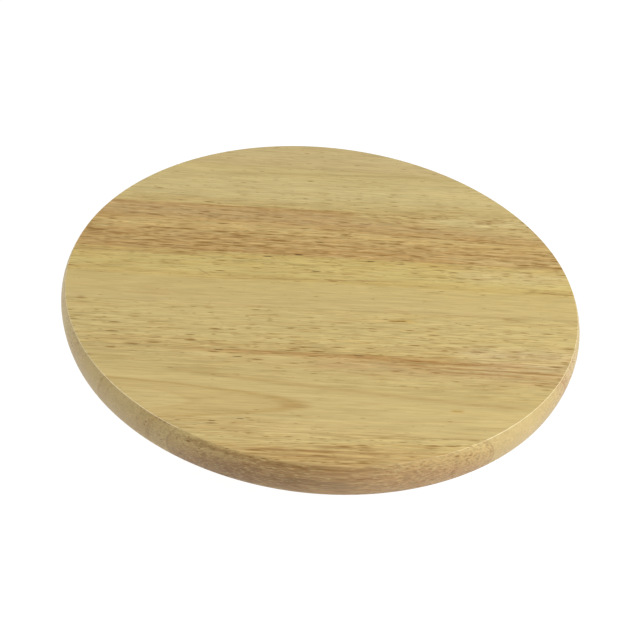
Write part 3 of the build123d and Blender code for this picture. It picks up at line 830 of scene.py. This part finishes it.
# For each stave from -Y to +Y: its growth bands, how open the vessels are, the marks that
# it alone has, a seed, the drift of its bands along X, and the heart of its cathedral.
top_looks = (
    dict(
        bands=(
            (0, "#b39261"),
            (0.15, "#b99b66"),
            (0.35, "#bea26a"),
            (0.6, "#c2a86e"),
            (0.85, "#c6b076"),
            (1, "#c5ae75"),
        ),
        pores=((0, 0.7), (0.4, 0.6), (0.8, 0.65), (1, 0.6)),
        zones=(
            # Darker along the front rim, from x -125 to 5 mm, and a little on the top's front edge.
            (-125, 5, -161.0, 0.0, 0.0, 19.0, "#93703d", 0.8),
            (-85, 28, -152.8, 0.0, 0.0033, 3.2, "#86602f", 0.6),
        ),
        marks=(
            (-60, 45, -140.5, 0.0, 0.0002, 1.6, "#93693a", 0.6),
            (-45, 40, -144.0, 0.0, 0.0003, 1.2, "#8c6236", 0.6),
            (-30, 50, -137.6, 0.0, 0.0, 0.9, "#9a7243", 0.5),
        ),
        seed=13.0,
        slope=0.0,
        tilt=1.2,
        arris_wear_and_highlight=0.0,
    ),
    dict(
        bands=(
            (0, "#c5ad74"),
            (0.15, "#c5af76"),
            (0.4, "#c7b177"),
            (0.62, "#c1ab71"),
            (0.8, "#c2ac73"),
            (1, "#c1a970"),
        ),
        pores=((0, 0.5), (0.12, 0.25), (0.5, 0.12), (0.7, 0.4), (0.85, 0.5), (1, 0.7)),
        zones=(
            (-98, 122, -70.5, -0.03, 0.0, 5.5, "#b18c55", 0.8),
            (-20, 150, -77.0, -0.04, 0.0, 9.5, "#b8996a", 0.7),
            # Painted sheen: paler towards the right edge of the top.
            (66, 190, -73.0, 0.0, 0.0, 9.0, "#cdb68a", 0.5),
            (-96, 112, -96.4, -0.11, 0.0002, 2.4, "#a88650", 0.4),
            (-30, -10, -110.0, 0.0, 0.0, 2.4, "#9c7a48", 0.55),
        ),
        marks=(
            (15, 78, -71.0, -0.02, 0.0, 0.9, "#966730", 0.6),
            (20, 142, -74.6, -0.03, 0.0, 1.0, "#9b6e36", 0.7),
            (55, 150, -77.0, -0.04, 0.0, 0.9, "#9b6e36", 0.6),
            (35, 132, -71.5, -0.02, 0.0, 0.9, "#9b6e36", 0.55),
            (-60, 60, -70.0, -0.01, 0.0, 0.8, "#9b6e36", 0.45),
            (-63, -56, -69.9, 0.0, 0.0, 0.6, "#4d3812", 0.9),
            (-53, -46, -74.7, 0.0, 0.0, 0.6, "#57431a", 0.8),
            (12, 20, -69.8, 0.0, 0.0, 0.6, "#4d3812", 0.9),
            (-49, -44, -120.3, 0.0, 0.0, 0.6, "#6b4f2c", 0.8),
            (-63, -58, -122.6, 0.0, 0.0, 0.6, "#6b4f2c", 0.8),
            (60, 69, -109.1, 0.0, 0.0, 1.2, "#b08a3e", 0.7),
        ),
        seed=29.0,
        slope=0.08,
        rings=(-109.0, 20.0, 0.05),
    ),
    dict(
        bands=((0, "#c0a86d"), (0.15, "#c2ab71"), (0.3, "#c6b176"), (0.7, "#c7b277"), (1, "#c5af74")),
        pores=((0, 0.7), (0.2, 0.65), (0.5, 0.55), (1, 0.45)),
        zones=(
            (30, 54, -38.9, 0.0, 0.0, 3.2, "#c09c50", 0.55),
            (-138, -86, -63.5, 0.0, 0.0, 4.5, "#b39660", 0.4),
            # Painted sheen: paler towards the right edge of the top.
            (60, 190, -64.0, 0.0, 0.0, 9.0, "#d3be90", 0.6),
        ),
        marks=(
            (38, 46, -38.9, 0.0, 0.0, 0.9, "#7d5a25", 0.9),
            (-70, -63, -35.1, 0.0, 0.0, 0.8, "#a5823f", 0.7),
        ),
        seed=47.0,
        slope=-0.02,
    ),
    dict(
        bands=(
            (0, "#c6b077"),
            (0.2, "#c5af74"),
            (0.45, "#c6b073"),
            (0.52, "#c2a968"),
            (0.6, "#c8b372"),
            (0.85, "#c8b270"),
            (0.95, "#c5ac6a"),
            (1, "#c2a768"),
        ),
        pores=((0, 0.25), (0.4, 0.15), (0.5, 0.4), (0.7, 0.55), (1, 0.7)),
        zones=(
            (-160, -60, 15.3, 0.0, 0.0, 5.0, "#b3935c", 0.65),
            (-112, -80, -21.0, 0.0, 0.0, 12.0, "#b99f66", 0.35),
            # Painted sheen: paler towards the right edge of the top.
            (66, 190, 8.0, 0.0, 0.0, 13.0, "#d3bf8e", 0.4),
        ),
        marks=(
            (-38, -30.5, 16.1, 0.0, 0.0, 0.8, "#3d2c0e", 0.95),
            (-9, -1.5, 3.7, 0.0, 0.0, 0.7, "#4a3510", 0.9),
            (25, 32, 16.4, 0.0, 0.0, 0.7, "#4a3510", 0.9),
            (42, 51, 15.0, 0.0, 0.0, 0.8, "#8a6a3c", 0.7),
            (-77, -65, -52.4, -0.7, 0.0, 0.9, "#9a7846", 0.6),
            (-67, 56, -4.3, 0.045, 0.0, 1.0, "#9a7846", 0.6),
            (114, 158, -6.7, 0.0, 0.0, 0.9, "#8a6838", 0.7),
            (58, 70, -11.2, 0.0, 0.0, 0.7, "#9a7846", 0.6),
        ),
        seed=61.0,
        slope=0.01,
    ),
    dict(
        bands=(
            (0, "#c0a068"),
            (0.1, "#bd9c64"),
            (0.2, "#c2a36b"),
            (0.3, "#bf9f67"),
            (0.4, "#c2a66d"),
            (0.46, "#c9ad71"),
            (0.54, "#c6aa70"),
            (0.6, "#bf9f67"),
            (0.7, "#bb9d6a"),
            (0.85, "#bea06d"),
            (0.93, "#bf9f6a"),
            (0.975, "#b5935d"),
            (1, "#b08c57"),
        ),
        pores=(
            (0, 0.9),
            (0.1, 1.0),
            (0.3, 1.0),
            (0.42, 0.9),
            (0.5, 0.65),
            (0.6, 0.75),
            (0.75, 0.7),
            (0.95, 0.7),
            (1, 0.9),
        ),
        zones=(
            (5, 175, 70.5, -0.09, 0.0, 17.0, "#cbb67a", 0.8),
            # Painted sheen: these two pale zones make the right part of the top paler.
            (60, 190, 65.0, 0.0, 0.0, 10.0, "#d2c18a", 0.75),
            (66, 190, 23.0, 0.0, 0.0, 8.0, "#cfba82", 0.5),
            (55, 132, 37.5, -0.01, 0.0, 5.5, "#c2a266", 0.6),
            (60, 140, 26.0, 0.0, 0.0, 4.0, "#a5793c", 0.2),
        ),
        marks=(
            (-130, 30, 38.9, -0.01, 0.0, 1.0, "#93672d", 0.6),
            (-140, 140, 30.0, -0.015, 0.0, 1.1, "#9a6f33", 0.5),
            (-122, 62, 25.4, 0.0, 0.0, 1.0, "#9a6f33", 0.45),
            (-142, 8, 20.2, 0.0, 0.0, 1.2, "#93672d", 0.5),
            (22, 148, 47.5, -0.04, 0.0, 1.2, "#8c602a", 0.55),
            (-73, -65, 54.6, 0.0, 0.0, 0.7, "#6e5029", 0.8),
            (22, 33, 56.1, 0.0, 0.0, 0.7, "#6e5029", 0.8),
            (-6, 1, 33.6, 0.0, 0.0, 0.8, "#4d3812", 0.9),
            (-19, -12, 19.4, 0.0, 0.0, 0.8, "#3d2c0e", 0.95),
        ),
        seed=83.0,
        slope=0.03,
    ),
    dict(
        bands=(
            (0, "#c3ab70"),
            (0.1, "#c6b077"),
            (0.25, "#cbb880"),
            (0.6, "#ccb981"),
            (0.85, "#cab67d"),
            (1, "#c9b47c"),
        ),
        pores=((0, 0.6), (0.15, 0.45), (0.5, 0.35), (0.8, 0.3), (1, 0.15)),
        zones=(
            (-80, 92, 112.0, 0.06, 0.0, 2.6, "#b39a66", 0.5),
            (-136, -28, 75.0, 0.0, 0.0, 5.5, "#b8a06a", 0.4),
            # Painted sheen: paler towards the right edge of the top.
            (75, 175, 71.0, 0.0, 0.0, 6.0, "#d0bd86", 0.6),
        ),
        seed=101.0,
        slope=-0.02,
    ),
    dict(
        bands=((0, "#c7b17c"), (0.3, "#c9b480"), (0.6, "#cbb783"), (1, "#c6b07b")),
        pores=((0, 0.3), (1, 0.3)),
        seed=127.0,
        slope=0.02,
    ),
)

rim_steps = 720
for number, (name, (low, high), look) in enumerate(zip(top_names, top_boxes, top_looks), 1):
    stave = lathe(edge_outline, rim_steps)
    for y, outward in ((low.y, -1), (high.y, 1)):
        if abs(y) > top_radius - 0.0001:
            continue
        cut = bmesh.ops.bisect_plane(
            stave,
            geom=stave.verts[:] + stave.edges[:] + stave.faces[:],
            dist=1e-7,
            plane_co=(0, y, 0),
            plane_no=(0, outward, 0),
            clear_outer=True,
        )
        rim = [e for e in cut["geom_cut"] if isinstance(e, bmesh.types.BMEdge)]
        bmesh.ops.contextual_create(stave, geom=rim)
    bmesh.ops.recalc_face_normals(stave, faces=stave.faces)
    piece = piece_from(stave, f"round_top_stave_{number}")
    for face in piece.data.polygons:
        if max(abs(face.normal.y), abs(face.normal.z)) > 0.99999:
            face.use_smooth = False
    edges = (low.y * 1000, high.y * 1000, high.z * 1000)
    piece.data.materials.append(rubberwood(f"satin_lacquered_rubberwood_{number}", edges, **look))
    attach(piece, "turntable")
    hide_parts(name)


# ---- Floor, backdrop and lights -----------------------------------------------------
# A sheet of white opal acrylic that glows a little, a white backdrop, and two softboxes,
# one to the right of the camera and one to the left and behind.

# White opal acrylic, lit from below: even and matt, with a haze over about 250 mm.
opal, tree, place = new_material("white_opal_acrylic")
haze = add(tree, "ShaderNodeTexNoise", {"Vector": place, "Scale": 0.004, "Detail": 1.0})
rough = add(tree, "ShaderNodeMapRange", {0: haze, 3: 0.75, 4: 0.85})
finish = {"Base Color": linear("#555555"), "Roughness": rough, "Specular IOR Level": 0.0}
finish.update({"Emission Color": linear("#ffffff"), "Emission Strength": 0.985})
surface = add(tree, "ShaderNodeBsdfPrincipled", finish)
add(tree, "ShaderNodeOutputMaterial", {"Surface": surface})

floor_radius = 6.0
sheet = bmesh.new()
bmesh.ops.create_circle(sheet, cap_ends=True, segments=96, radius=floor_radius)
floor = piece_from(sheet, "floor")
floor.data.materials.append(opal)

# Backdrop paper, lit until it is pure white. Only the camera sees it.
paper, tree, place = new_material("white_backdrop_paper")
haze = add(tree, "ShaderNodeTexNoise", {"Vector": place, "Scale": 0.002, "Detail": 1.0})
rough = add(tree, "ShaderNodeMapRange", {0: haze, 3: 0.85, 4: 0.95})
finish = {"Base Color": linear("#000000"), "Roughness": rough, "Specular IOR Level": 0.0}
finish.update({"Emission Color": linear("#ffffff"), "Emission Strength": 1.05})
surface = add(tree, "ShaderNodeBsdfPrincipled", finish)
add(tree, "ShaderNodeOutputMaterial", {"Surface": surface})

dome = bmesh.new()
bmesh.ops.create_icosphere(dome, subdivisions=4, radius=floor_radius + 1.0)
bmesh.ops.reverse_faces(dome, faces=dome.faces)
backdrop = piece_from(dome, "backdrop", 180)
backdrop.data.materials.append(paper)
backdrop.visible_diffuse = False
backdrop.visible_glossy = False
backdrop.visible_shadow = False

world = bpy.data.worlds.new("dim_room")
world.use_nodes = True
world.node_tree.nodes["Background"].inputs["Color"].default_value = linear("#fffefb")
world.node_tree.nodes["Background"].inputs["Strength"].default_value = 0.06
bpy.context.scene.world = world

object_middle = Vector((0, 0, 0.03))
for name, azimuth, elevation, distance, size, power in (
    ("right_softbox", -28, 40, 1.2, 0.7, 15.0),
    ("left_softbox", 170, 47, 1.4, 0.8, 11.4),
):
    a, e = math.radians(azimuth), math.radians(elevation)
    away = Vector((math.cos(a) * math.cos(e), math.sin(a) * math.cos(e), math.sin(e)))
    light = bpy.data.lights.new(name, "AREA")
    light.shape = "SQUARE"
    light.size = size
    light.energy = power
    lamp = bpy.data.objects.new(name, light)
    lamp.location = object_middle + away * distance
    lamp.rotation_euler = away.to_track_quat("Z", "Y").to_euler()
    lamp.visible_camera = False
    bpy.context.scene.collection.objects.link(lamp)


# ---- Camera -------------------------------------------------------------------------
# Just under 0.6 m from the middle of the top, a little to the left of the front, and
# looking down at about 37 degrees, with a small roll.

camera = bpy.data.objects.new("camera", bpy.data.cameras.new("camera"))
camera.data.lens = 56.25
camera.data.sensor_width = 36.0
camera.data.clip_start = 0.01
top_face = Vector((0, 0, top_low + top_thickness))
turn, lift = math.radians(-6.0), math.radians(37.14)
towards = Vector((math.sin(turn) * math.cos(lift), -math.cos(turn) * math.cos(lift), math.sin(lift)))
camera_distance = 0.5926
camera.location = top_face + towards * camera_distance
camera.rotation_euler = [math.radians(angle) for angle in (50.1107, -5.0963, -1.7536)]
bpy.context.scene.collection.objects.link(camera)
bpy.context.scene.camera = camera
bpy.context.scene.view_settings.view_transform = "Standard"
